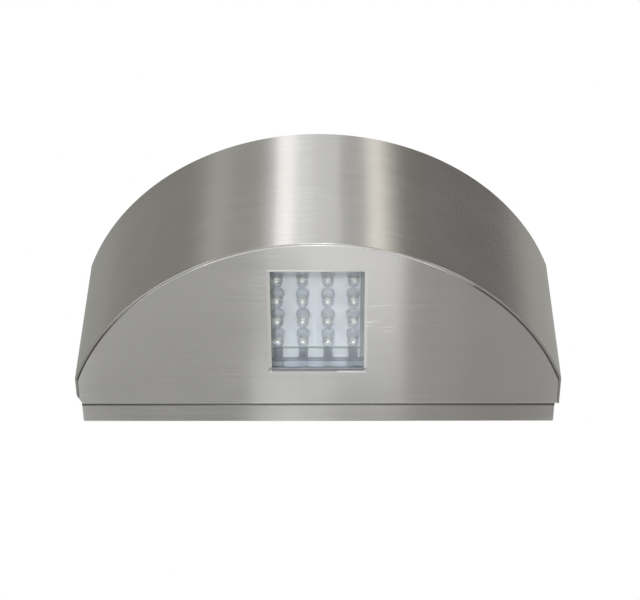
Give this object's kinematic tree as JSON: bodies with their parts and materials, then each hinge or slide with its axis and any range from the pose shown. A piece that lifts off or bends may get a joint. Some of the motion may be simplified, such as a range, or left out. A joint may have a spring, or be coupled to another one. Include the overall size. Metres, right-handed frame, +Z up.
{
  "type": "wall light",
  "caption": "Half-moon wall light of brushed stainless steel: a curved housing on a shallow wall tray, lit by LEDs behind a window in its underside.",
  "frame": {"origin": "middle of the wall tray's back face, on the wall", "axes": "+Y into the wall, +X along the housing's width, +Z up; the LED window faces down (-Z) and the curved band faces -Y"},
  "size_m": [0.21, 0.1, 0.0822],
  "materials": {
    "brushed_steel": "brushed stainless steel sheet",
    "screw_steel": "plain stainless or zinc-plated small parts",
    "foam": "black closed-cell foam",
    "clear_cover": "clear moulded cover",
    "clear_led": "clear epoxy",
    "bright_reflector": "bright rolled aluminium",
    "white_board": "white solder mask",
    "resistor_lacquer": "blue-grey lacquer",
    "solar_glass": "clear laminate",
    "silicon": "dark blue polycrystalline silicon",
    "black_moulding": "black moulded plastic",
    "cell_wrap": "plain green shrink sleeve",
    "contact_metal": "nickel-plated spring metal",
    "green_board": "green solder mask",
    "chip_black": "black phenolic or epoxy",
    "coil_ferrite": "ferrite with enamelled wire",
    "capacitor_sleeve": "dark sleeve",
    "socket_nylon": "natural nylon",
    "wire_cover": "thin insulation"
  },
  "bodies": {
    "lamp": {"front_band": "brushed_steel", "bottom_plate": "brushed_steel", "top_plate": "brushed_steel", "wall_tray": "brushed_steel", "housing_screws": "screw_steel", "tray_nuts": "screw_steel", "lens_gasket": "foam", "lens_cover": "clear_cover", "light_well": "bright_reflector", "led_board": "white_board", "led_lamps": "clear_led", "led_resistors": "resistor_lacquer", "well_studs": "screw_steel", "stud_nuts": "screw_steel", "solar_tape": "foam", "solar_cover": "solar_glass", "solar_cells": "silicon", "solar_backing": "white_board", "back_panel": "black_moulding", "battery_lid": "black_moulding", "battery_cells": "cell_wrap", "battery_contacts": "contact_metal", "panel_screws": "screw_steel", "lid_screw": "screw_steel", "board_screws": "screw_steel", "switch_screws": "screw_steel", "panel_brackets": "screw_steel", "control_board": "green_board", "control_chip": "chip_black", "control_coil": "coil_ferrite", "control_capacitor": "capacitor_sleeve", "wire_sockets": "socket_nylon", "switch_frame": "screw_steel", "switch_base": "chip_black", "switch_pins": "contact_metal", "led_leads": "wire_cover", "battery_leads": "wire_cover", "solar_leads": "wire_cover", "switch_leads": "wire_cover"},
    "slider": {"switch_slider": "chip_black"}
  },
  "joints": [
    {"name": "switch_slide", "type": "slide", "parent": "lamp", "child": "slider", "axis": [1, 0, 0], "range_m": [0, 0.004]}
  ]
}
